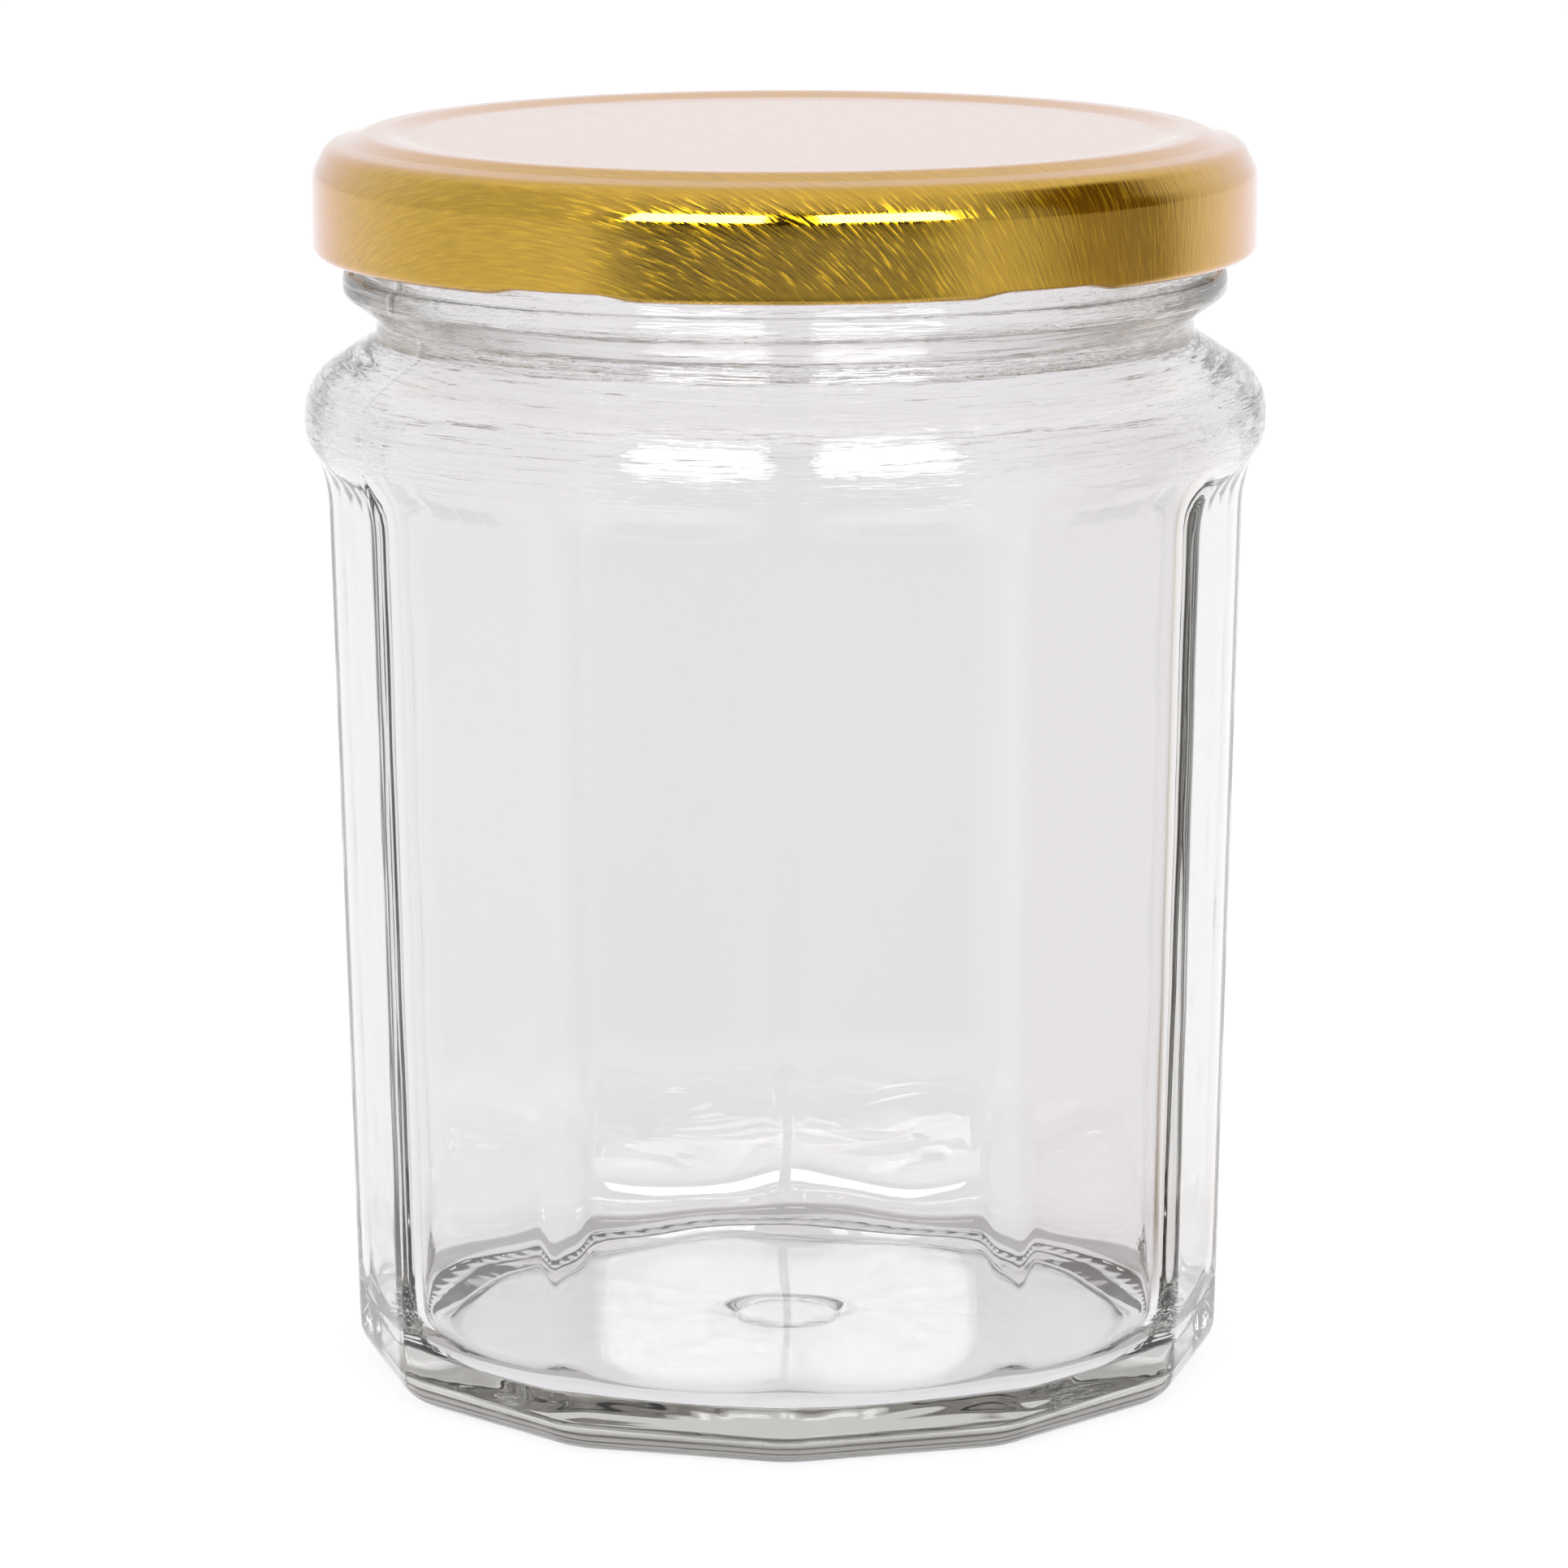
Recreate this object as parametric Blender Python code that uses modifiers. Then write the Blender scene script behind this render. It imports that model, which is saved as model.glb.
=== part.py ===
"""A twelve-sided preserving jar with a one-piece twist-off lid.

The object is three separate pieces: the glass jar with its six moulded lug threads, the pressed
lid shell with its six lugs, and the soft sealing ring in the lid's channel. Z is up, the jar's
axis is the Z axis, and it stands on z = 0. Facet edges face +X, -X, +Y and -Y. The lid is
screwed on: a positive turn about +Z, anticlockwise from above, opens it.
"""

import math

import bmesh
import bpy
from mathutils import Matrix, Vector

MM = 0.001

# Driving dimensions, in millimetres and degrees. The wall's radii are taken on its facet edges.
SIDES = 12
STEPS_PER_SIDE = 6
HEEL_RADIUS = 39.8
HEEL_ROUND = 3.4
CONTACT_INNER_RADIUS = 33.0
PUSH_UP = 0.8
PUSH_UP_STEP = 3.0
FLOOR_TOP = 4.4
WALL_TOP_RADIUS = 41.7
WALL_TOP = 82.4
WALL_TOP_ROUND = 12.0
WALL_THICKNESS = 2.9
INNER_HEEL_ROUND = 5.0
BULGE_RADIUS = 43.7
BULGE_BOTTOM = 86.9
BULGE_BOTTOM_ROUND = 6.0
BULGE_TOP = 91.7
BULGE_TOP_ROUND = 5.0
INNER_BULGE_ROUND = 4.0
WAIST_RADIUS = 37.1
WAIST_BOTTOM = 95.9
WAIST_BOTTOM_ROUND = 1.0
WAIST_TOP = 97.6
WAIST_TOP_ROUND = 0.8
BEAD_RADIUS = 40.1
BEAD_BOTTOM = 99.8
BEAD_TOP = 101.9
BEAD_ROUND = 1.0
BEAD_EDGE_ROUND = 0.7
FINISH_RADIUS = 39.3
FINISH_TOP = 112.4
LIP_INNER_RADIUS = 36.0
LIP_ROUND = 1.0
THROAT_RADIUS = 34.4
THROAT_ROUND = 3.0

THREADS = 6
THREAD_RADIUS = 40.45
THREAD_THICKNESS = 1.4
THREAD_SWEEP = 48.0
THREAD_LEAD_IN = 12.0
THREAD_START_HEIGHT = 106.0
THREAD_STEPS = 12
THREAD_END_SCALE = 0.5
LEAD = 24.0

SHEET = 0.3
PANEL_TOP = 113.75
PANEL_RADIUS = 34.0
PANEL_ROUND = 3.0
CREST_TOP = 114.2
CREST_INNER_RADIUS = 36.2
CREST_RADIUS = 37.9
CREST_ROUND = 2.5
SHELF_INNER_RADIUS = 39.5
SHELF_INNER_TOP = 113.55
SHELF_INNER_ROUND = 2.2
SHELF_RADIUS = 41.5
SHELF_TOP = 113.1
SHELF_ROUND = 1.8
SKIRT_RADIUS = 42.75
SKIRT_TOP = 110.7
SKIRT_ROUND = 2.6
LID_BOTTOM = 103.3
CURL_RADIUS = 0.85
CURL_START = 100.0
CURL_STEPS = 8
LID_STEPS = 72
LUG_AZIMUTH = -57.5
LUG_WIDTH = 20.0
LUG_TAPER = 5.0
LUG_INNER_RADIUS = 39.75
LUG_LIFT = 0.5

GASKET_INNER_RADIUS = 35.7
GASKET_OUTER_RADIUS = 38.3
GASKET_THICKNESS = 0.8
FIT_GAP = 0.3

ARC_SAG = 0.1


def rounded(corners):
    """An outline through corners (radius, height, rounding), with each rounding drawn as an arc."""
    points = [corners[0][:2]]
    for before, corner, after in zip(corners, corners[1:], corners[2:]):
        points += arc_at(before, corner, after)
    return points + [corners[-1][:2]]


def arc_at(before, corner, after):
    """The arc that rounds one corner of an outline, or the bare corner where it has no rounding."""
    if corner[2] == 0:
        return [corner[:2]]
    here = Vector(corner[:2])
    back = (Vector(before[:2]) - here).normalized()
    ahead = (Vector(after[:2]) - here).normalized()
    half = back.angle(ahead) / 2
    centre = here + (back + ahead).normalized() * corner[2] / math.sin(half)
    spoke = here + back * corner[2] / math.tan(half) - centre
    turn = math.copysign(math.pi - 2 * half, spoke.cross(here - centre))
    steps = math.ceil(abs(turn) / (2 * math.acos(1 - ARC_SAG / corner[2])))
    return [
        tuple(centre + Matrix.Rotation(turn * step / steps, 2) @ spoke)
        for step in range(steps + 1)
    ]


def offset(outline, distance):
    """The outline moved to the right of its direction of travel, point by point."""
    moved = []
    for index, (radius, height) in enumerate(outline):
        before = outline[max(index - 1, 0)]
        after = outline[min(index + 1, len(outline) - 1)]
        along = Vector((after[0] - before[0], after[1] - before[1])).normalized()
        moved.append((radius + along.y * distance, height - along.x * distance))
    return moved


def smooth_step(value):
    value = min(max(value, 0.0), 1.0)
    return value * value * (3 - 2 * value)


def facet_factor(angle):
    """How far a regular polygon's side lies inside its corners' circle, with a corner at angle 0."""
    half_side = math.pi / SIDES
    past_corner = angle % (2 * half_side)
    return math.cos(half_side) / math.cos(half_side - past_corner)


def glass_outer():
    """The jar's outer outline, from the middle of its underside up to the sealing lip."""
    return rounded([
        (0, PUSH_UP, 0),
        (CONTACT_INNER_RADIUS - PUSH_UP_STEP, PUSH_UP, PUSH_UP_STEP),
        (CONTACT_INNER_RADIUS, 0, 0),
        (HEEL_RADIUS, 0, HEEL_ROUND),
        (WALL_TOP_RADIUS, WALL_TOP, WALL_TOP_ROUND),
        (BULGE_RADIUS, BULGE_BOTTOM, BULGE_BOTTOM_ROUND),
        (BULGE_RADIUS, BULGE_TOP, BULGE_TOP_ROUND),
        (WAIST_RADIUS, WAIST_BOTTOM, WAIST_BOTTOM_ROUND),
        (WAIST_RADIUS, WAIST_TOP, WAIST_TOP_ROUND),
        (BEAD_RADIUS, BEAD_BOTTOM, BEAD_ROUND),
        (BEAD_RADIUS, BEAD_TOP, BEAD_EDGE_ROUND),
        (FINISH_RADIUS, BEAD_TOP, 0),
        (FINISH_RADIUS, FINISH_TOP, LIP_ROUND),
        ((FINISH_RADIUS + LIP_INNER_RADIUS) / 2, FINISH_TOP, 0),
    ])


def glass_inner():
    """The jar's inner outline, from the sealing lip down to the middle of its floor."""
    inner_bulge = BULGE_RADIUS - WALL_THICKNESS
    return rounded([
        ((FINISH_RADIUS + LIP_INNER_RADIUS) / 2, FINISH_TOP, 0),
        (LIP_INNER_RADIUS, FINISH_TOP, LIP_ROUND),
        (THROAT_RADIUS, WAIST_TOP, THROAT_ROUND),
        (THROAT_RADIUS, WAIST_BOTTOM, THROAT_ROUND),
        (inner_bulge, BULGE_TOP - WALL_THICKNESS / 2, INNER_BULGE_ROUND),
        (inner_bulge, BULGE_BOTTOM, INNER_BULGE_ROUND),
        (WALL_TOP_RADIUS - WALL_THICKNESS, WALL_TOP, WALL_TOP_ROUND),
        (HEEL_RADIUS - WALL_THICKNESS, FLOOR_TOP, INNER_HEEL_ROUND),
        (0, FLOOR_TOP, 0),
    ])


def glass_section(angle):
    """One radial section of the jar: its wall is faceted inside and out, the rest is round."""
    side = facet_factor(angle)
    outline = glass_outer() + glass_inner()[1:]
    section = []
    for radius, height in outline:
        faceted = smooth_step((BULGE_BOTTOM - height) / (BULGE_BOTTOM - WALL_TOP))
        if height <= PUSH_UP and radius <= CONTACT_INNER_RADIUS:
            faceted = 0.0
        section.append((radius * (1 - faceted * (1 - side)), height))
    return section


def lug_strength(angle):
    """1 in the middle of each lug, 0 between the lugs, with a short slope at its ends."""
    spacing = 360 / THREADS
    from_middle = (math.degrees(angle) - LUG_AZIMUTH + spacing / 2) % spacing - spacing / 2
    return smooth_step((LUG_WIDTH / 2 - abs(from_middle)) / LUG_TAPER)


def lid_outer():
    """The lid shell's outer outline, from the middle of its panel to the top of the curl."""
    return rounded([
        (0, PANEL_TOP, 0),
        (PANEL_RADIUS, PANEL_TOP, PANEL_ROUND),
        (CREST_INNER_RADIUS, CREST_TOP, CREST_ROUND),
        (CREST_RADIUS, CREST_TOP, CREST_ROUND),
        (SHELF_INNER_RADIUS, SHELF_INNER_TOP, SHELF_INNER_ROUND),
        (SHELF_RADIUS, SHELF_TOP, SHELF_ROUND),
        (SKIRT_RADIUS, SKIRT_TOP, SKIRT_ROUND),
        (SKIRT_RADIUS, LID_BOTTOM + CURL_RADIUS, 0),
    ])


def curl_outline(lug):
    """The curl from inside the skirt, round below it and out; a lug presses it in and up."""
    middle = SKIRT_RADIUS - CURL_RADIUS
    reach = lug * (middle - CURL_RADIUS - LUG_INNER_RADIUS)
    points = []
    for step in range(CURL_STEPS + 1):
        turn = math.radians(CURL_START + (360 - CURL_START) * step / CURL_STEPS)
        inward = max(0.0, -math.cos(turn))
        downward = max(0.0, -math.sin(turn))
        points.append((
            middle + CURL_RADIUS * math.cos(turn) - reach * inward,
            LID_BOTTOM + CURL_RADIUS * (1 + math.sin(turn)) + lug * LUG_LIFT * downward,
        ))
    return points


def lid_section(angle):
    """One radial section of the lid shell, from the axis along its underside and back on top."""
    outer = lid_outer()
    inner = offset(outer, SHEET)
    inner[-1] = (inner[-1][0], LID_BOTTOM + 2 * CURL_RADIUS)
    return inner + curl_outline(lug_strength(angle)) + outer[-2::-1]


def loft(name, section_at, steps):
    """A closed body through radial sections around Z; each section starts and ends on the axis."""
    mesh = bmesh.new()
    sections = [section_at(2 * math.pi * step / steps) for step in range(steps)]
    first = mesh.verts.new((0, 0, sections[0][0][1] * MM))
    last = mesh.verts.new((0, 0, sections[0][-1][1] * MM))
    columns = []
    for step, section in enumerate(sections):
        turned = Matrix.Rotation(2 * math.pi * step / steps, 3, "Z")
        column = [mesh.verts.new(turned @ Vector((r * MM, 0, z * MM))) for r, z in section[1:-1]]
        columns.append([first] + column + [last])
    for column, following in zip(columns, columns[1:] + columns[:1]):
        for index in range(len(column) - 1):
            around = (column[index], following[index], following[index + 1], column[index + 1])
            mesh.faces.new(list(dict.fromkeys(around)))
    data = bpy.data.meshes.new(name)
    mesh.to_mesh(data)
    mesh.free()
    return shaded(bpy.data.objects.new(name, data))


def shaded(piece):
    """The piece shaded smooth, with its real edges kept sharp."""
    piece.data.shade_smooth()
    piece.data.set_sharp_from_angle(angle=math.radians(25))
    return piece


def material(name, colour, roughness, metallic=0.0, transmission=0.0):
    finish = bpy.data.materials.new(name)
    finish.use_nodes = True
    shader = finish.node_tree.nodes["Principled BSDF"]
    shader.inputs["Base Color"].default_value = (*colour, 1.0)
    shader.inputs["Roughness"].default_value = roughness
    shader.inputs["Metallic"].default_value = metallic
    shader.inputs["Transmission Weight"].default_value = transmission
    return finish


def collection(name):
    group = bpy.data.collections.new(name)
    bpy.context.scene.collection.children.link(group)
    return group


def thread_curve(name, start):
    """One lug thread's ridge: a rod along a right-hand helix, thinner at its ends."""
    curve = bpy.data.curves.new(name, "CURVE")
    curve.dimensions = "3D"
    curve.bevel_depth = THREAD_THICKNESS / 2 * MM
    curve.bevel_resolution = 2
    curve.use_fill_caps = True
    ridge = curve.splines.new("POLY")
    ridge.points.add(THREAD_STEPS)
    radius = (THREAD_RADIUS - THREAD_THICKNESS / 2) * MM
    for step, point in enumerate(ridge.points):
        sweep = THREAD_SWEEP * step / THREAD_STEPS
        height = THREAD_START_HEIGHT + LEAD * sweep / 360
        angle = math.radians(start + sweep)
        place = (radius * math.cos(angle), radius * math.sin(angle), height * MM)
        point.co = (*place, 1.0)
        point.radius = THREAD_END_SCALE if step in (0, THREAD_STEPS) else 1.0
    return bpy.data.objects.new(name, curve)


def as_mesh(piece):
    """A mesh object in the curve object's place, with its caps welded."""
    evaluated = piece.evaluated_get(bpy.context.evaluated_depsgraph_get())
    data = bpy.data.meshes.new_from_object(evaluated)
    mesh = bmesh.new()
    mesh.from_mesh(data)
    bmesh.ops.remove_doubles(mesh, verts=mesh.verts, dist=0.01 * MM)
    mesh.to_mesh(data)
    mesh.free()
    solid = bpy.data.objects.new(piece.name, data)
    solid.matrix_world = piece.matrix_world
    bpy.data.objects.remove(piece)
    return solid


def add_threads(jar, cutters):
    """Joins the six thread ridges to the jar's neck."""
    for index in range(THREADS):
        start = LUG_AZIMUTH - THREAD_LEAD_IN + 360 / THREADS * index
        curve = thread_curve(f"thread_ridge_{index + 1}", start)
        cutters.objects.link(curve)
        bpy.context.view_layer.update()
        ridge = as_mesh(curve)
        ridge.hide_render = True
        ridge.display_type = "WIRE"
        cutters.objects.link(ridge)
    union = jar.modifiers.new("threads", "BOOLEAN")
    union.operation = "UNION"
    union.operand_type = "COLLECTION"
    union.collection = cutters


def make_jar(parts, cutters):
    jar = loft("glass_jar", glass_section, SIDES * STEPS_PER_SIDE)
    jar.data.materials.append(material("clear_glass", (0.93, 0.93, 0.94), 0.02, transmission=1.0))
    parts.objects.link(jar)
    add_threads(jar, cutters)


def make_lid(parts):
    lid = loft("lid_shell", lid_section, LID_STEPS)
    lid.data.materials.append(material("gold_tinplate", (0.60, 0.43, 0.16), 0.32, metallic=1.0))
    parts.objects.link(lid)


def make_gasket(parts):
    """The sealing ring: a rounded section turned around the axis."""
    bottom = FINISH_TOP + FIT_GAP
    top = bottom + GASKET_THICKNESS
    corners = [
        (GASKET_OUTER_RADIUS, bottom),
        (GASKET_INNER_RADIUS, bottom),
        (GASKET_INNER_RADIUS, top),
        (GASKET_OUTER_RADIUS, top),
    ]
    data = bpy.data.meshes.new("sealing_gasket")
    edges = [(index, (index + 1) % len(corners)) for index in range(len(corners))]
    data.from_pydata([(r * MM, 0, z * MM) for r, z in corners], edges, [])
    ring = bpy.data.objects.new("sealing_gasket", data)
    ring.data.materials.append(material("plastisol", (0.80, 0.78, 0.72), 0.55))
    parts.objects.link(ring)
    turn = ring.modifiers.new("turn", "SCREW")
    turn.steps = LID_STEPS
    turn.render_steps = LID_STEPS
    turn.use_merge_vertices = True
    turn.merge_threshold = 0.01 * MM


def main():
    for thing in list(bpy.data.objects):
        bpy.data.objects.remove(thing)
    parts = collection("preserving_jar")
    cutters = collection("thread_ridges")
    make_jar(parts, cutters)
    make_lid(parts)
    make_gasket(parts)


main()
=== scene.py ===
"""Looks for the twelve-sided preserving jar: clear glass, brushed gold lug lid, sealing ring.

The fine glass, the pressed lid with its rolled curl and the cast sealing ring are built round the
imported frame, and stand for the CAD solids of the same places and sizes. Shapes are in millimetres
until they become meshes. Looks, lights and the camera are in metres. An outline's points are
(radius, height), and its corners are (radius, height, rounding).
"""

import math

import bpy
import numpy as np
from mathutils import Matrix, Vector


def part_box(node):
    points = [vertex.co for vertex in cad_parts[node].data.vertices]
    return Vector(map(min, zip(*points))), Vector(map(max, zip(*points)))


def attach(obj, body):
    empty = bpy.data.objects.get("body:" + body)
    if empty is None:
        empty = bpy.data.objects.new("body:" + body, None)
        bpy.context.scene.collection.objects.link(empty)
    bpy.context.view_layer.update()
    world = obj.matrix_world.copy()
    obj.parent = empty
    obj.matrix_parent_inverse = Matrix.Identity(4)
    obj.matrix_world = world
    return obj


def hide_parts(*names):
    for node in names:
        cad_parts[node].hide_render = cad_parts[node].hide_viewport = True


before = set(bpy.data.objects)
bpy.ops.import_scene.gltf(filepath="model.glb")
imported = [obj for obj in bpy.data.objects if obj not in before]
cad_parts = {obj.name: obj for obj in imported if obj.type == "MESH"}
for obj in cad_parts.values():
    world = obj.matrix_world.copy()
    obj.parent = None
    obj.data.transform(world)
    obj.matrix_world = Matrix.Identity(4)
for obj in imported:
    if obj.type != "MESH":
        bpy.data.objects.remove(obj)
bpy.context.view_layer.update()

MM = 0.001

JAR_LOW, JAR_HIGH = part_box("glass_jar")
LID_LOW, LID_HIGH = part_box("lid_shell")
RING_LOW, RING_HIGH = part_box("sealing_gasket")

# Sizes worked out from the frame's boxes.
BULGE_RADIUS = (JAR_HIGH[0] - JAR_LOW[0]) / 2 / MM
JAR_TOP = JAR_HIGH[2] / MM
LID_RADIUS = (LID_HIGH[0] - LID_LOW[0]) / 2 / MM
LID_TOP = LID_HIGH[2] / MM
LID_BOTTOM = LID_LOW[2] / MM
RING_OUTER = (RING_HIGH[0] - RING_LOW[0]) / 2 / MM
RING_TOP = RING_HIGH[2] / MM
RING_BOTTOM = RING_LOW[2] / MM

# How far a fine arc may be from its chord.
GLASS_SAG = 0.02
SHEET_SAG = 0.004


# ---------------------------------------------------------------- outlines

def arc_at(before, corner, after, sag):
    """The arc that rounds one corner of an outline, or the bare corner where it has no rounding."""
    if corner[2] == 0:
        return [corner[:2]]
    here = Vector(corner[:2])
    back = (Vector(before[:2]) - here).normalized()
    ahead = (Vector(after[:2]) - here).normalized()
    half = back.angle(ahead) / 2
    centre = here + (back + ahead).normalized() * corner[2] / math.sin(half)
    spoke = here + back * corner[2] / math.tan(half) - centre
    turn = math.copysign(math.pi - 2 * half, spoke.cross(here - centre))
    steps = math.ceil(abs(turn) / (2 * math.acos(1 - sag / corner[2])))
    return [
        tuple(centre + Matrix.Rotation(turn * step / steps, 2) @ spoke)
        for step in range(steps + 1)
    ]


def rounded(corners, sag):
    """An open outline through its corners, with each rounding drawn as an arc."""
    points = [corners[0][:2]]
    for before, corner, after in zip(corners, corners[1:], corners[2:]):
        points += arc_at(before, corner, after, sag)
    return points + [corners[-1][:2]]


def subdivided(outline, longest):
    """The outline with extra points, so that no stretch is longer than longest."""
    points = [outline[0]]
    for before, after in zip(outline, outline[1:]):
        count = max(1, math.ceil(math.dist(before, after) / longest))
        for step in range(1, count + 1):
            share = step / count
            points.append(tuple(a + (b - a) * share for a, b in zip(before, after)))
    return points


def normals_of(outline):
    """The right-hand side of each point's direction of travel."""
    ahead = np.vstack([outline[1:], outline[-1:]])
    behind = np.vstack([outline[:1], outline[:-1]])
    along = ahead - behind
    along /= np.linalg.norm(along, axis=1)[:, None]
    return np.stack([along[:, 1], -along[:, 0]], axis=-1)


def smooth_step(value):
    """0 below 0, 1 above 1, and a smooth rise between them."""
    value = np.clip(value, 0.0, 1.0)
    return value * value * (3 - 2 * value)


def even_angles(count):
    """The angles of this many columns round the axis."""
    return np.radians(np.arange(count) * 360 / count)


# ---------------------------------------------------------------- turned meshes

def turned(name, angles, radius, height, sheet=None, lined=None, poles=True):
    """A closed body from a section (rows) at each angle (columns), which may differ by angle.

    The rows keep the material on their left: up the outside and down the inside of the jar, or
    down the inside and up the outside of the lid. With poles, the first and last row are points
    on the axis; without, the section is a ring that closes on itself. sheet gives each row's
    distance along a flat sheet, which makes a UV layer of places on the sheet before it was
    pressed. lined marks the rows whose faces take the second material.
    """
    columns, rows = radius.shape
    points = np.stack([
        radius * np.cos(angles)[:, None],
        radius * np.sin(angles)[:, None],
        np.broadcast_to(height, radius.shape),
    ], axis=-1)
    first, last = (1, rows - 1) if poles else (0, rows)
    index = np.arange(columns * (last - first)).reshape(columns, last - first)
    after = np.roll(index, -1, axis=0)
    if not poles:
        index = np.hstack([index, index[:, :1]])
        after = np.hstack([after, after[:, :1]])
    quads = np.stack([index[:, :-1], after[:, :-1], after[:, 1:], index[:, 1:]], axis=-1)
    faces = quads.reshape(-1, 4).tolist()
    vertices = points[:, first:last].reshape(-1, 3)
    if poles:
        low, high = len(vertices), len(vertices) + 1
        vertices = np.vstack([vertices, points[0, 0], points[0, -1]])
        faces += [(low, b, a) for a, b in zip(index[:, 0].tolist(), after[:, 0].tolist())]
        faces += [(high, a, b) for a, b in zip(index[:, -1].tolist(), after[:, -1].tolist())]
    mesh = bpy.data.meshes.new(name)
    mesh.from_pydata((vertices * MM).tolist(), [], faces)
    mesh.shade_smooth()
    if sheet is not None:
        add_sheet_places(mesh, np.broadcast_to(sheet[first:last], (columns, last - first)), angles)
    if lined is not None:
        second = np.broadcast_to(lined[first : last - 1], (columns, last - first - 1)).ravel()
        ends = [lined[0]] * columns + [lined[-1]] * columns
        mesh.polygons.foreach_set("material_index", np.concatenate([second, ends]).astype(np.int32))
    piece = bpy.data.objects.new(name, mesh)
    bpy.context.scene.collection.objects.link(piece)
    return piece


def add_sheet_places(mesh, along, angles):
    """A UV layer in metres: each point's place on the flat sheet before it was pressed."""
    flat = np.stack([along * np.cos(angles)[:, None], along * np.sin(angles)[:, None]], axis=-1)
    flat = np.vstack([flat.reshape(-1, 2), np.zeros((2, 2))]) * MM
    corners = np.zeros(len(mesh.loops), np.int32)
    mesh.loops.foreach_get("vertex_index", corners)
    layer = mesh.uv_layers.new(name="sheet")
    layer.uv.foreach_set("vector", flat[corners].astype(np.float32).ravel())


# ---------------------------------------------------------------- glass

SIDES = 12
JAR_COLUMNS = 480
OUTER_EDGE_ROUND, INNER_EDGE_ROUND = 8.0, 7.0

# The foot: the raised underside with its ring mark, and the flat ring that the jar stands on.
PUSH_UP, PUSH_UP_RADIUS, PUSH_UP_ROUND = 0.8, 29.5, 6.0
MARK_INNER, MARK_MIDDLE, MARK_OUTER, MARK_HEIGHT = 4.2, 4.5, 4.8, 0.15
MARK_EDGE_ROUND, MARK_ROUND = 0.3, 0.2
CONTACT_START, CONTACT_START_ROUND = 33.0, 2.0
CONTACT_INNER, CONTACT_OUTER = 34.0, 36.4
HEEL_RADIUS, HEEL_ROUND = 39.8, 3.4

# The wall, whose radii are taken on its facet edges, and the floor.
WALL_TOP_RADIUS, WALL_TOP, WALL_TOP_ROUND = 41.7, 82.4, 12.0
WALL = 2.9
FLOOR_TOP, INNER_HEEL_ROUND = 4.4, 5.0

# The shoulder bulge, the waist, the transfer bead and the neck finish.
BULGE_BOTTOM, BULGE_BOTTOM_ROUND = 86.9, 6.0
BULGE_TOP, BULGE_TOP_ROUND = 91.7, 5.0
INNER_BULGE_ROUND = 4.0
WAIST_RADIUS, WAIST_BOTTOM, WAIST_BOTTOM_ROUND = 37.1, 95.9, 1.0
WAIST_TOP, WAIST_TOP_ROUND = 97.6, 0.8
BEAD_RADIUS, BEAD_BOTTOM, BEAD_ROUND = 40.1, 99.8, 1.0
BEAD_TOP, BEAD_EDGE_ROUND, FINISH_FOOT_ROUND = 101.9, 0.7, 0.1
FINISH_RADIUS, LIP_MIDDLE, LIP_INNER, LIP_ROUND = 39.3, 37.65, 36.0, 1.0
THROAT_RADIUS, THROAT_ROUND = 34.4, 3.0

# The lug threads. Angles are in degrees, and the lead is the climb in one turn.
THREADS, THREAD_RADIUS, THREAD_HALF, LEAD = 6, 40.45, 0.75, 24.0
THREAD_SWEEP, THREAD_LEAD_IN, THREAD_END = 48.0, 12.0, 4.0
THREAD_START = 106.0
THREAD_BAND_BOTTOM, THREAD_BAND_TOP = THREAD_START - 1.0, THREAD_START + 4.4
LUG_AZIMUTH = -57.5

# The knurled contact ring, and the mould's seam on two facet edges.
KNURLS, KNURL_DEPTH = 96, 0.05
SEAM_AZIMUTH, SEAM_HALF_ANGLE, SEAM_HEIGHT, SEAM_BOTTOM = 30.0, 0.2, 0.1, 2.0

# Where the facets fade out on the underside and above the floor, and the waves below the neck.
FACETS_FROM, FACETS_OVER, INNER_FACETS_OVER = 30, 4, 5
WAVES_BELOW, WAVES_OVER = 95, 10

# Slack for choosing rows by their radius or height.
SLACK = 0.1


def glass_outline(corners, longest):
    """A finely rounded and subdivided part of the glass's outline."""
    return subdivided(rounded(corners, GLASS_SAG), longest)


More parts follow.
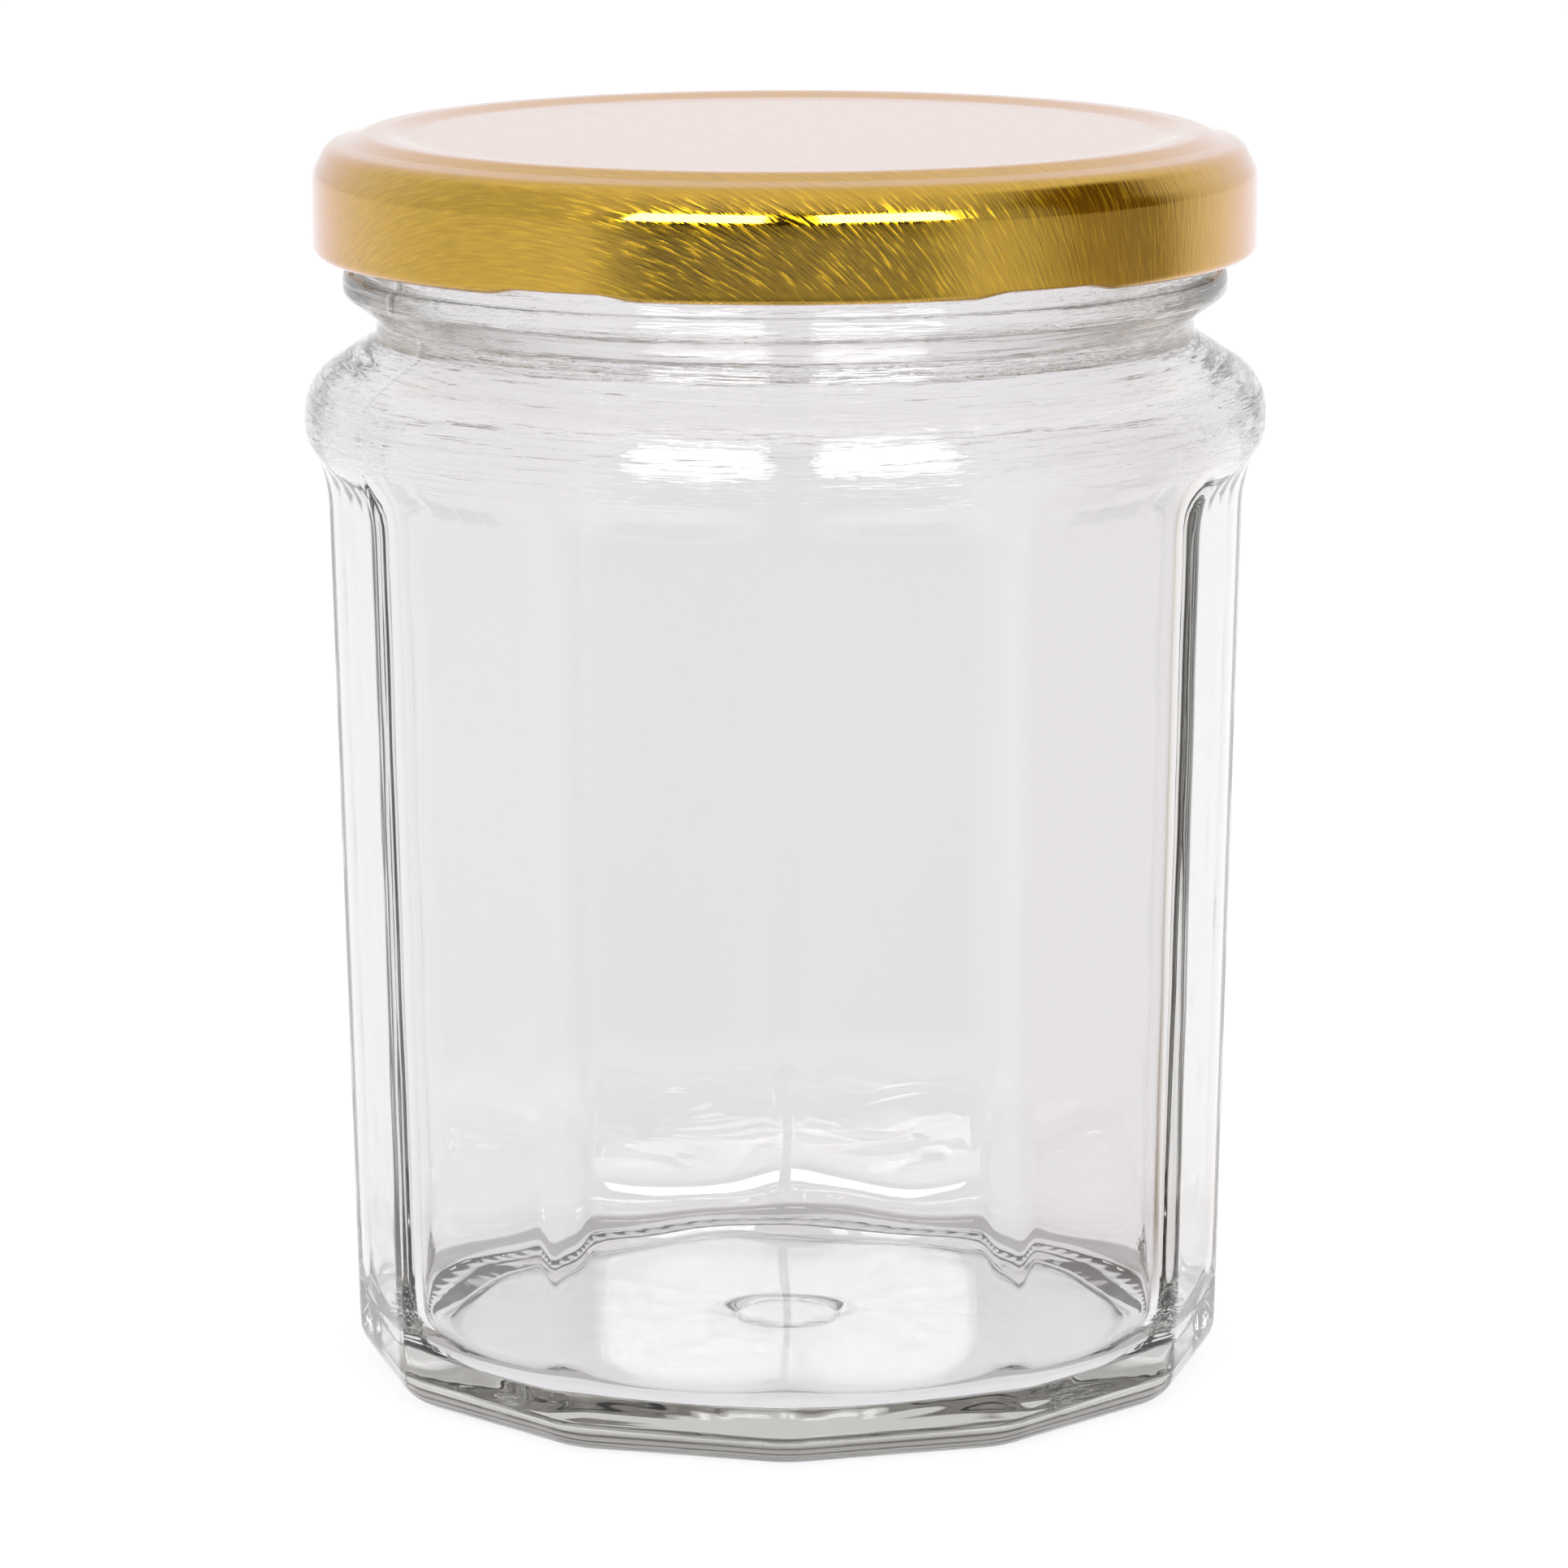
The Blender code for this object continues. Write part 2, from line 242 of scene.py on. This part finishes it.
def glass_outer():
    """From the underside's middle over the heel, wall, bulge, waist and bead to the lip."""
    base = glass_outline([
        (0, PUSH_UP, 0),
        (MARK_INNER, PUSH_UP, MARK_EDGE_ROUND),
        (MARK_MIDDLE, PUSH_UP + MARK_HEIGHT, MARK_ROUND),
        (MARK_OUTER, PUSH_UP, MARK_EDGE_ROUND),
        (PUSH_UP_RADIUS, PUSH_UP, PUSH_UP_ROUND),
        (CONTACT_START, 0.0, CONTACT_START_ROUND),
        (CONTACT_INNER, 0.0, 0),
    ], longest=3.0)
    contact = glass_outline([(CONTACT_INNER, 0.0, 0), (CONTACT_OUTER, 0.0, 0)], longest=0.4)
    wall = glass_outline([
        (CONTACT_OUTER, 0.0, 0),
        (HEEL_RADIUS, 0.0, HEEL_ROUND),
        (WALL_TOP_RADIUS, WALL_TOP, WALL_TOP_ROUND),
        (BULGE_RADIUS, BULGE_BOTTOM, BULGE_BOTTOM_ROUND),
        (BULGE_RADIUS, BULGE_TOP, BULGE_TOP_ROUND),
        (WAIST_RADIUS, WAIST_BOTTOM, WAIST_BOTTOM_ROUND),
        (WAIST_RADIUS, WAIST_TOP, WAIST_TOP_ROUND),
        (BEAD_RADIUS, BEAD_BOTTOM, BEAD_ROUND),
        (BEAD_RADIUS, BEAD_TOP, BEAD_EDGE_ROUND),
        (FINISH_RADIUS, BEAD_TOP, FINISH_FOOT_ROUND),
        (FINISH_RADIUS, THREAD_BAND_BOTTOM, 0),
    ], longest=5.0)
    threaded = glass_outline([
        (FINISH_RADIUS, THREAD_BAND_BOTTOM, 0),
        (FINISH_RADIUS, THREAD_BAND_TOP, 0),
    ], longest=0.25)
    lip = rounded([
        (FINISH_RADIUS, THREAD_BAND_TOP, 0),
        (FINISH_RADIUS, JAR_TOP, LIP_ROUND),
        (LIP_MIDDLE, JAR_TOP, 0),
    ], GLASS_SAG)
    return base + contact[1:] + wall[1:] + threaded[1:] + lip[1:]


def glass_inner():
    """From the lip's middle down the throat, the bulge and the wall to the floor's middle."""
    return glass_outline([
        (LIP_MIDDLE, JAR_TOP, 0),
        (LIP_INNER, JAR_TOP, LIP_ROUND),
        (THROAT_RADIUS, WAIST_TOP, THROAT_ROUND),
        (THROAT_RADIUS, WAIST_BOTTOM, THROAT_ROUND),
        (BULGE_RADIUS - WALL, BULGE_TOP - WALL / 2, INNER_BULGE_ROUND),
        (BULGE_RADIUS - WALL, BULGE_BOTTOM, INNER_BULGE_ROUND),
        (WALL_TOP_RADIUS - WALL, WALL_TOP, WALL_TOP_ROUND),
        (HEEL_RADIUS - WALL, FLOOR_TOP, INNER_HEEL_ROUND),
        (0, FLOOR_TOP, 0),
    ], longest=2.0)


def facet_factor(angles, edge_round, radius):
    """A twelve-sided plan with rounded edges, as a share of the radius at its sharp corners."""
    half = math.pi / SIDES
    from_edge = np.abs((angles + half) % (2 * half) - half)
    middle = radius - edge_round
    flat = edge_round + middle * math.cos(half)
    tangent = math.atan2(edge_round * math.sin(half), middle + edge_round * math.cos(half))
    arc = middle * np.cos(from_edge) + np.sqrt(
        np.maximum(edge_round**2 - (middle * np.sin(from_edge)) ** 2, 0)
    )
    return np.where(from_edge < tangent, arc, flat / np.cos(half - from_edge)) / radius


def thread_bump(angles, height):
    """How far the lug threads stand out of the neck, by angle (column) and height (row)."""
    spacing = 360 / THREADS
    sweep = (np.degrees(angles)[:, None] - LUG_AZIMUTH + THREAD_LEAD_IN) % spacing
    middle = THREAD_START + LEAD * sweep / 360
    across = np.clip(1 - ((height[None, :] - middle) / THREAD_HALF) ** 2, 0, 1)
    ends = smooth_step(sweep / THREAD_END) * smooth_step((THREAD_SWEEP - sweep) / THREAD_END)
    return (THREAD_RADIUS - FINISH_RADIUS) * np.sqrt(across) * ends


def seam_bump(angles, outer_wall):
    """The fine ridge on the two facet edges where the halves of the mould met."""
    from_seam = np.abs((np.degrees(angles) - SEAM_AZIMUTH + 90) % 180 - 90)
    return SEAM_HEIGHT * (from_seam < SEAM_HALF_ANGLE)[:, None] * outer_wall[None, :]


def inner_waves(angles, radius, height):
    """The slow unevenness of the glass where it was blown and no mould touched it.

    The waves run round the axis in radians, and up the wall and across the floor in centimetres.
    The ripples are stronger near the floor, and everything fades out at the floor's middle.
    """
    around, up = angles[:, None], height[None, :] / 10
    across = np.minimum(radius[None, :] / 10, 4.0)
    slow = 0.03 * np.cos(2 * around + 0.4 * up + 1) + 0.015 * np.cos(5 * around - 0.9 * up + 3)
    quick = 0.012 * np.cos(17 * around + 3 * up) + 0.012 * np.cos(11 * around - 5 * up + 2)
    ripples = 0.014 * np.cos(9 * up + np.cos(3 * around)) + 0.015 * np.cos(6 * across + 2 * around)
    low = smooth_step((30 - height) / 25)[None, :]
    return (slow + quick + ripples * (0.3 + low)) * smooth_step((radius - 2) / 20)[None, :]


def make_glass():
    """The whole jar: faceted wall, round neck, threads, seam, inner waves and knurled foot."""
    outer, inner = np.array(glass_outer()), np.array(glass_inner())[1:]
    angles = even_angles(JAR_COLUMNS)
    section = np.vstack([outer, inner])
    radius, height = section[:, 0], section[:, 1]
    is_outer = np.arange(len(section)) < len(outer)

    faceted = smooth_step((BULGE_BOTTOM - height) / (BULGE_BOTTOM - WALL_TOP))
    faceted *= np.where(
        is_outer,
        smooth_step((radius - FACETS_FROM) / FACETS_OVER),
        smooth_step((height - FLOOR_TOP) / INNER_FACETS_OVER),
    )
    outer_plan = facet_factor(angles, OUTER_EDGE_ROUND, WALL_TOP_RADIUS)
    inner_plan = facet_factor(angles, INNER_EDGE_ROUND, WALL_TOP_RADIUS - WALL)
    plan = np.where(is_outer[None, :], outer_plan[:, None], inner_plan[:, None])
    grown = radius[None, :] * (1 - faceted[None, :] * (1 - plan))

    on_finish = is_outer & (height > BEAD_TOP) & (radius > FINISH_RADIUS - SLACK)
    grown += thread_bump(angles, height) * on_finish[None, :]
    on_wall = is_outer & (height > SEAM_BOTTOM) & (radius > WAIST_RADIUS - SLACK)
    grown += seam_bump(angles, on_wall)

    free = smooth_step((WAVES_BELOW - height) / WAVES_OVER) * ~is_outer
    waves = inner_waves(angles, radius, height) * free[None, :]
    facing = normals_of(section)
    grown += waves * facing[None, :, 0]
    lifted = height[None, :] + waves * facing[None, :, 1]

    on_contact = is_outer & (height < SLACK)
    on_contact &= (radius > CONTACT_INNER + SLACK) & (radius < CONTACT_OUTER - SLACK)
    knurl = KNURL_DEPTH * (0.5 - 0.5 * np.cos(KNURLS * angles))
    lifted = lifted + knurl[:, None] * on_contact[None, :]
    return turned("jar_glass", angles, grown, lifted)


# ---------------------------------------------------------------- lid

LID_COLUMNS = 480
SHEET = 0.25

# The panel inside the raised crest, the shelf outside it, and the skirt. Drops are from the top.
PANEL_RADIUS, PANEL_DROP, PANEL_ROUND = 34.0, 0.45, 3.0
CREST_INNER, CREST_OUTER, CREST_ROUND = 36.2, 37.9, 2.5
SHELF_INNER, SHELF_INNER_DROP, SHELF_INNER_ROUND = 39.5, 0.65, 2.2
SHELF_OUTER, SHELF_DROP, SHELF_ROUND = 41.5, 1.1, 1.8
SKIRT_DROP, SKIRT_ROUND = 3.5, 2.6

# The rolled edge: its radius, how far it turns in degrees, and its points.
CURL, CURL_TURN, CURL_POINTS = 0.85, 290, 32

# The lugs pressed into it. Widths are in degrees. The press reaches a little above the curl.
LUG_WIDTH, LUG_TAPER = 20.0, 5.0
LUG_REACH, LUG_LIFT, LUG_ABOVE = 1.3, 0.5, 0.4


def lid_outline():
    """The outside of the sheet from the panel's middle, over the rim and down to the curl."""
    return rounded([
        (0, LID_TOP - PANEL_DROP, 0),
        (PANEL_RADIUS, LID_TOP - PANEL_DROP, PANEL_ROUND),
        (CREST_INNER, LID_TOP, CREST_ROUND),
        (CREST_OUTER, LID_TOP, CREST_ROUND),
        (SHELF_INNER, LID_TOP - SHELF_INNER_DROP, SHELF_INNER_ROUND),
        (SHELF_OUTER, LID_TOP - SHELF_DROP, SHELF_ROUND),
        (LID_RADIUS, LID_TOP - SKIRT_DROP, SKIRT_ROUND),
        (LID_RADIUS, LID_BOTTOM + CURL, 0),
    ], SHEET_SAG)


def curl_outline():
    """The sheet's outside rolled in below the skirt, almost closing on itself."""
    turns = np.radians(np.linspace(0, -CURL_TURN, CURL_POINTS))[1:]
    middle = LID_RADIUS - CURL
    return [(middle + CURL * math.cos(t), LID_BOTTOM + CURL + CURL * math.sin(t)) for t in turns]


def lug_strength(angles):
    """From 0 to 1, how far the curl is pressed in at each angle to make the lugs."""
    spacing = 360 / THREADS
    from_middle = (np.degrees(angles) - LUG_AZIMUTH + spacing / 2) % spacing - spacing / 2
    return smooth_step((LUG_WIDTH / 2 - np.abs(from_middle)) / LUG_TAPER)


def make_lid():
    """The pressed sheet with its rolled and lugged edge, lined inside."""
    outside = np.array(subdivided(lid_outline(), longest=1.5) + curl_outline())
    steps = np.linalg.norm(np.diff(outside, axis=0), axis=1)
    along = np.concatenate([[0], np.cumsum(steps)])
    inside = outside + normals_of(outside) * SHEET
    section = np.vstack([inside, outside[::-1]])
    sheet = np.concatenate([along, along[::-1]])
    lined = np.arange(len(section) - 1) < len(inside)

    angles = even_angles(LID_COLUMNS)
    lug = lug_strength(angles)[:, None]
    curl_middle = LID_BOTTOM + CURL
    low = section[:, 1] < curl_middle + CURL + LUG_ABOVE
    inward = np.clip((LID_RADIUS - CURL - section[:, 0]) / CURL, 0, 1) * low
    below = np.clip((curl_middle - section[:, 1]) / CURL, 0, 1) * low
    radius = section[None, :, 0] - lug * LUG_REACH * inward[None, :]
    height = section[None, :, 1] + lug * LUG_LIFT * below[None, :]
    return turned("lid_pressed", angles, radius, height, sheet=sheet, lined=lined)


# ---------------------------------------------------------------- ring

RING_COLUMNS = 240
RING_INNER = 35.75
RING_LOWER_ROUND, RING_UPPER_ROUND = 0.2, 0.25
GROOVE_INNER, GROOVE_OUTER = 36.5, 37.6
GROOVE_SLOPE, GROOVE_DEPTH, GROOVE_ROUND = 0.2, 0.12, 0.1


def make_ring():
    """The cast ring, with the shallow groove that the jar's lip presses into it."""
    corners = [
        (RING_INNER, RING_BOTTOM, RING_LOWER_ROUND),
        (GROOVE_INNER, RING_BOTTOM, GROOVE_ROUND),
        (GROOVE_INNER + GROOVE_SLOPE, RING_BOTTOM + GROOVE_DEPTH, GROOVE_ROUND),
        (GROOVE_OUTER - GROOVE_SLOPE, RING_BOTTOM + GROOVE_DEPTH, GROOVE_ROUND),
        (GROOVE_OUTER, RING_BOTTOM, GROOVE_ROUND),
        (RING_OUTER, RING_BOTTOM, RING_LOWER_ROUND),
        (RING_OUTER, RING_TOP, RING_UPPER_ROUND),
        (RING_INNER, RING_TOP, RING_UPPER_ROUND),
    ]
    section = []
    for before, corner, after in zip(corners[-1:] + corners, corners, corners[1:] + corners[:1]):
        section += arc_at(before, corner, after, SHEET_SAG)
    section = np.array(section)
    radius = np.broadcast_to(section[:, 0], (RING_COLUMNS, len(section)))
    return turned("sealing_ring", even_angles(RING_COLUMNS), radius, section[:, 1], poles=False)


# ---------------------------------------------------------------- node helpers

def set_inputs(tree, node, inputs):
    """Fills a node's inputs, by name or number, with plain values or other nodes' outputs."""
    for key, value in inputs.items():
        if isinstance(value, bpy.types.NodeSocket):
            tree.links.new(value, node.inputs[key])
        else:
            node.inputs[key].default_value = value


def add_node(tree, kind, inputs, **settings):
    """A new node with its settings and inputs filled in."""
    node = tree.nodes.new(kind)
    for name, value in settings.items():
        setattr(node, name, value)
    set_inputs(tree, node, inputs)
    return node


def computed(tree, operation, first, second):
    """A calculation with two numbers."""
    return add_node(tree, "ShaderNodeMath", {0: first, 1: second}, operation=operation).outputs[0]


def times(tree, first, second):
    """The product of two numbers."""
    return computed(tree, "MULTIPLY", first, second)


def unless(tree, wanted, stopped):
    """The first 0 to 1 value, but 0 where the second is 1."""
    return times(tree, wanted, computed(tree, "SUBTRACT", 1.0, stopped))


def between(tree, source, low, high):
    """A smooth 0 to 1 as the source goes from low to high."""
    node = add_node(
        tree, "ShaderNodeMapRange", {"Value": source, "From Min": low, "From Max": high},
        interpolation_type="SMOOTHSTEP",
    )
    return node.outputs["Result"]


def mixed(tree, factor, low, high):
    """A number from low to high by the factor."""
    node = add_node(tree, "ShaderNodeMapRange", {"Value": factor, "To Min": low, "To Max": high})
    return node.outputs["Result"]


def mixed_colour(tree, factor, first, second):
    """The first colour, going to the second by the factor."""
    inputs = {0: factor, 6: first, 7: second}
    return add_node(tree, "ShaderNodeMix", inputs, data_type="RGBA").outputs[2]


def ramp(tree, source, stops):
    """A colour ramp of the source, from (position, colour) stops."""
    node = add_node(tree, "ShaderNodeValToRGB", {"Fac": source})
    stop_list = node.color_ramp.elements
    for _ in stops[2:]:
        stop_list.new(0.5)
    for stop, (position, colour) in zip(stop_list, stops):
        stop.position, stop.color = position, colour
    return node.outputs["Color"]


def grey(level):
    """The grey colour of this level."""
    return (level, level, level, 1)


def length_of(tree, vector):
    """How long a vector is."""
    return add_node(tree, "ShaderNodeVectorMath", {0: vector}, operation="LENGTH").outputs["Value"]


def parts_of(tree, vector):
    """A vector's x, y and z."""
    split = add_node(tree, "ShaderNodeSeparateXYZ", {0: vector})
    return [split.outputs[axis] for axis in "XYZ"]


def stretched_noise(tree, places, scale, detail):
    """Noise that is squeezed by a scale for each axis."""
    squeeze = add_node(tree, "ShaderNodeMapping", {"Vector": places, "Scale": scale})
    inputs = {"Vector": squeeze.outputs["Vector"], "Scale": 1.0, "Detail": detail}
    return add_node(tree, "ShaderNodeTexNoise", inputs).outputs["Fac"]


def bumped(tree, height, distance):
    """The surface's direction when the height, times the distance in metres, is raised on it."""
    inputs = {"Height": height, "Strength": 1.0, "Distance": distance}
    return add_node(tree, "ShaderNodeBump", inputs).outputs["Normal"]


def path_depth(tree, kind):
    """1 on a path that has already had a bounce of this kind, and 0 otherwise."""
    path = add_node(tree, "ShaderNodeLightPath", {})
    return computed(tree, "GREATER_THAN", path.outputs[kind + " Depth"], 0.5)


# ---------------------------------------------------------------- materials

# In metres: painted shade darkens the glass at the foot's edge, in place of the floor's contact
# shadow, over these distances from the underside's middle and down these heights. The tool
# streaks come in up the last two heights.
CLEAR_GLASS, SHADED_FOOT_GLASS = (0.915, 0.91, 0.915, 1), (0.30, 0.29, 0.28, 1)
FOOT_SHADE_OUTSIDE, FOOT_SHADE_BELOW = (0.0370, 0.0376), (0.0026, 0.0020)
STREAKS_ABOVE = (0.0845, 0.0885)
STREAK_SCALE, STREAK_DETAIL, STREAK_DEPTH = (70, 70, 1300), 3.0, 0.00026
THICK_GLASS, GLASS_DENSITY = (0.84, 0.84, 0.825, 1), 35

# The brushing of the lid's sheet: its direction, its lines to the metre, and how long they are
# for their width.
BRUSH_ANGLE, BRUSH_SCALE, BRUSH_STRETCH, BRUSH_DETAIL, BRUSH_DEPTH = 34, 3400, 10, 2, 0.00003
GOLD_STOPS = [(0.3, (0.53, 0.312, 0.003, 1)), (0.7, (0.68, 0.405, 0.010, 1))]
GOLD_ROUGHNESS = [(0.46, grey(0.07)), (0.66, grey(0.30))]
GOLD_EDGE_TINT = (1.0, 0.80, 0.94, 1)


def new_material(name, inputs):
    """A material with its shader's plain inputs filled in, and its node tree and shader."""
    finish = bpy.data.materials.new(name)
    finish.use_nodes = True
    tree = finish.node_tree
    shader = tree.nodes["Principled BSDF"]
    set_inputs(tree, shader, inputs)
    return finish, tree, shader


def glass_material():
    """Flint glass: grey where it is thick, painted shade at the foot, and streaked at the bulge and
    neck.
    """
    finish, tree, shader = new_material("clear_flint_glass", {
        "Roughness": 0.0,
        "IOR": 1.51,
        "Transmission Weight": 1.0,
    })
    body = add_node(tree, "ShaderNodeVolumeAbsorption", {
        "Color": THICK_GLASS,
        "Density": GLASS_DENSITY,
    })
    set_inputs(tree, tree.nodes["Material Output"], {"Volume": body.outputs["Volume"]})

    places = add_node(tree, "ShaderNodeTexCoord", {}).outputs["Object"]
    _, _, height = parts_of(tree, places)
    # Painted shade: the base colour is darkened at the outer foot's lower edge, in place of the
    # contact shadow seen in the glass.
    outside = between(tree, length_of(tree, places), *FOOT_SHADE_OUTSIDE)
    painted_foot_shade = times(tree, outside, between(tree, height, *FOOT_SHADE_BELOW))
    streaks = stretched_noise(tree, places, STREAK_SCALE, STREAK_DETAIL)
    upper = between(tree, height, *STREAKS_ABOVE)
    set_inputs(tree, shader, {
        "Base Color": mixed_colour(tree, painted_foot_shade, CLEAR_GLASS, SHADED_FOOT_GLASS),
        "Normal": bumped(tree, times(tree, streaks, upper), STREAK_DEPTH),
    })
    return finish


def gold_material():
    """Brushed tinplate under clear gold lacquer. The brushing runs across the flat sheet."""
    finish, tree, shader = new_material("brushed_gold_tinplate", {
        "Metallic": 1.0,
        "Specular Tint": GOLD_EDGE_TINT,
        "Coat Weight": 1.0,
        "Coat Roughness": 0.07,
        "Coat IOR": 1.62,
    })
    sheet = add_node(tree, "ShaderNodeUVMap", {}, uv_map="sheet")
    turned_sheet = add_node(tree, "ShaderNodeMapping", {
        "Vector": sheet.outputs["UV"],
        "Rotation": (0, 0, math.radians(BRUSH_ANGLE)),
    })
    brush_scale = (BRUSH_SCALE / BRUSH_STRETCH, BRUSH_SCALE, 1)
    grain = stretched_noise(tree, turned_sheet.outputs["Vector"], brush_scale, BRUSH_DETAIL)
    set_inputs(tree, shader, {
        "Base Color": ramp(tree, grain, GOLD_STOPS),
        "Roughness": ramp(tree, grain, GOLD_ROUGHNESS),
        "Normal": bumped(tree, grain, BRUSH_DEPTH),
    })
    return finish


def lining_material():
    """The pale lacquer inside the lid."""
    return new_material("cream_lining_lacquer", {
        "Base Color": (0.94, 0.935, 0.92, 1),
        "Roughness": 0.35,
    })[0]


def ring_material():
    """The soft, pale plastic of the sealing ring."""
    return new_material("cast_plastisol", {
        "Base Color": (0.92, 0.91, 0.88, 1),
        "Roughness": 0.5,
    })[0]


# ---------------------------------------------------------------- stage

# Metres and degrees, and the lens in millimetres.
CAMERA_DISTANCE, CAMERA_HEIGHT, CAMERA_PITCH, CAMERA_LENS = 0.6245, 0.1757, 11.043, 158.7
CAMERA_AIM_X, CAMERA_ROLL = -0.00020, -0.13

# How bright the floor, the jar's contact shade on it and the world are. To a path that has had a
# diffuse bounce, the floor is FILL times as bright and the world's level is FILL.
FLOOR_GLOW, CONTACT_GLOW, WORLD_LEVEL, FILL = 0.82, 0.73, 0.95, 2.1
FLOOR_TINT, WORLD_TINT = (1, 0.985, 1.01, 1), (1, 0.98, 1.0, 1)
FLOOR_SIZE, FLOOR_HEIGHT, FLOOR_ALBEDO = 12, -0.0002, 0.1

# Distances from the jar's axis on the floor: where the dark room may begin, and the edges of the
# contact shade, which lies under the front of the foot.
ROOM_BEYOND = (0.05, 0.09)
SHADE_INNER, SHADE_OUTER, SHADE_FRONT = (0.033, 0.0365), (0.0425, 0.0395), (0.0, -0.015)

# The dark room ends between these upward parts of the direction, below the pale ceiling.
CEILING = (0.8, 0.6)

# What reflections see round the jar, by degrees: 0 is in front of it and 90 at its right.
ROOM = [
    (-180, grey(1.0)),
    (-120, grey(0.9)),
    (-90, grey(0.74)),
    (-48, grey(0.76)),
    (-43, grey(0.45)),
    (-30, grey(0.0)),
    (-6, grey(0.0)),
    (4, grey(0.04)),
    (32, grey(0.05)),
    (46, grey(0.62)),
    (60, (0.48, 0.48, 0.46, 1)),
    (74, (0.20, 0.12, 0.03, 1)),
    (100, (0.16, 0.10, 0.03, 1)),
    (116, (0.85, 0.8, 0.75, 1)),
    (135, grey(1.0)),
]

# The soft boxes: each one's azimuth and width, and the distance, height and power of both.
SOFT_BOXES = [("soft_box_left", -21.5, 0.72), ("soft_box_right", 24.5, 0.70)]
BOX_DISTANCE, BOX_BOTTOM, BOX_TOP, BOX_POWER = 1.2, 0.27, 1.0, 19


def make_camera():
    """A long lens in front of the jar, tilted down."""
    lens = bpy.data.cameras.new("camera")
    lens.lens = CAMERA_LENS
    lens.sensor_width = 36.0
    lens.clip_start = 0.01
    lens.clip_end = 50.0
    camera = bpy.data.objects.new("camera", lens)
    bpy.context.scene.collection.objects.link(camera)
    camera.location = (CAMERA_AIM_X, -CAMERA_DISTANCE, CAMERA_HEIGHT)
    camera.rotation_euler = (math.radians(90 - CAMERA_PITCH), 0, 0)
    camera.rotation_euler.rotate_axis("Z", math.radians(CAMERA_ROLL))
    bpy.context.scene.camera = camera


def room_colour(tree, x, y, plain, allowed):
    """The plain colour, but in sharp reflections, where allowed, the darker room round the jar."""
    azimuth = computed(tree, "ARCTAN2", x, times(tree, y, -1.0))
    share = add_node(tree, "ShaderNodeMapRange", {
        "Value": azimuth,
        "From Min": -math.pi,
        "From Max": math.pi,
    })
    stops = [(0.5 + degrees / 360, colour) for degrees, colour in ROOM]
    room = ramp(tree, share.outputs["Result"], stops)
    sharp = unless(tree, path_depth(tree, "Glossy"), path_depth(tree, "Diffuse"))
    return mixed_colour(tree, times(tree, sharp, allowed), plain, room)


def make_stage():
    """A pale glowing table, dark in front of the jar as reflections see it."""
    bpy.ops.mesh.primitive_plane_add(size=FLOOR_SIZE, location=(0, 0, FLOOR_HEIGHT))
    floor = bpy.context.object
    floor.name = "floor"
    finish, tree, shader = new_material("pale_floor", {
        "Base Color": grey(FLOOR_ALBEDO),
        "Roughness": 1.0,
        "Specular IOR Level": 0.0,
    })
    position = add_node(tree, "ShaderNodeNewGeometry", {}).outputs["Position"]
    x, y, _ = parts_of(tree, position)
    distance = length_of(tree, position)
    far = between(tree, distance, *ROOM_BEYOND)
    ring = times(tree, between(tree, distance, *SHADE_INNER), between(tree, distance, *SHADE_OUTER))
    through = times(tree, between(tree, y, *SHADE_FRONT), path_depth(tree, "Transmission"))
    glow = mixed(tree, times(tree, ring, through), FLOOR_GLOW, CONTACT_GLOW)
    fill = mixed(tree, path_depth(tree, "Diffuse"), 1.0, FILL)
    set_inputs(tree, shader, {
        "Emission Color": room_colour(tree, x, y, FLOOR_TINT, far),
        "Emission Strength": times(tree, glow, fill),
    })
    floor.data.materials.append(finish)


def make_lights():
    """Two upright soft boxes that face the jar."""
    for name, azimuth, width in SOFT_BOXES:
        light = bpy.data.lights.new(name, "AREA")
        light.shape = "RECTANGLE"
        light.size = width
        light.size_y = BOX_TOP - BOX_BOTTOM
        light.energy = BOX_POWER
        lamp = bpy.data.objects.new(name, light)
        bpy.context.scene.collection.objects.link(lamp)
        angle = math.radians(azimuth)
        away = Vector((math.sin(angle), -math.cos(angle), 0))
        lamp.location = away * BOX_DISTANCE + Vector((0, 0, (BOX_BOTTOM + BOX_TOP) / 2))
        lamp.rotation_euler = away.to_track_quat("Z", "Y").to_euler()


def make_world():
    """A pale studio, dark in front of the jar as reflections see it."""
    world = bpy.data.worlds.new("studio")
    bpy.context.scene.world = world
    world.use_nodes = True
    tree = world.node_tree
    x, y, up = parts_of(tree, add_node(tree, "ShaderNodeTexCoord", {}).outputs["Generated"])
    set_inputs(tree, tree.nodes["Background"], {
        "Color": room_colour(tree, x, y, WORLD_TINT, between(tree, up, *CEILING)),
        "Strength": mixed(tree, path_depth(tree, "Diffuse"), WORLD_LEVEL, FILL),
    })


def place(piece, finishes, body, node):
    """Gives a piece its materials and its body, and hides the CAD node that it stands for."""
    for finish in finishes:
        piece.data.materials.append(finish)
    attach(piece, body)
    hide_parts(node)


def main():
    """Sets how far light is followed, and makes the pieces, the stage and the lights."""
    scene = bpy.context.scene
    scene.view_settings.view_transform = "Standard"
    scene.cycles.use_denoising = True
    scene.cycles.max_bounces = 24
    scene.cycles.transmission_bounces = 24
    scene.cycles.glossy_bounces = 16
    scene.cycles.diffuse_bounces = 8
    make_camera()
    place(make_glass(), [glass_material()], "jar", "glass_jar")
    place(make_lid(), [gold_material(), lining_material()], "lid", "lid_shell")
    place(make_ring(), [ring_material()], "seal", "sealing_gasket")
    make_stage()
    make_lights()
    make_world()


main()
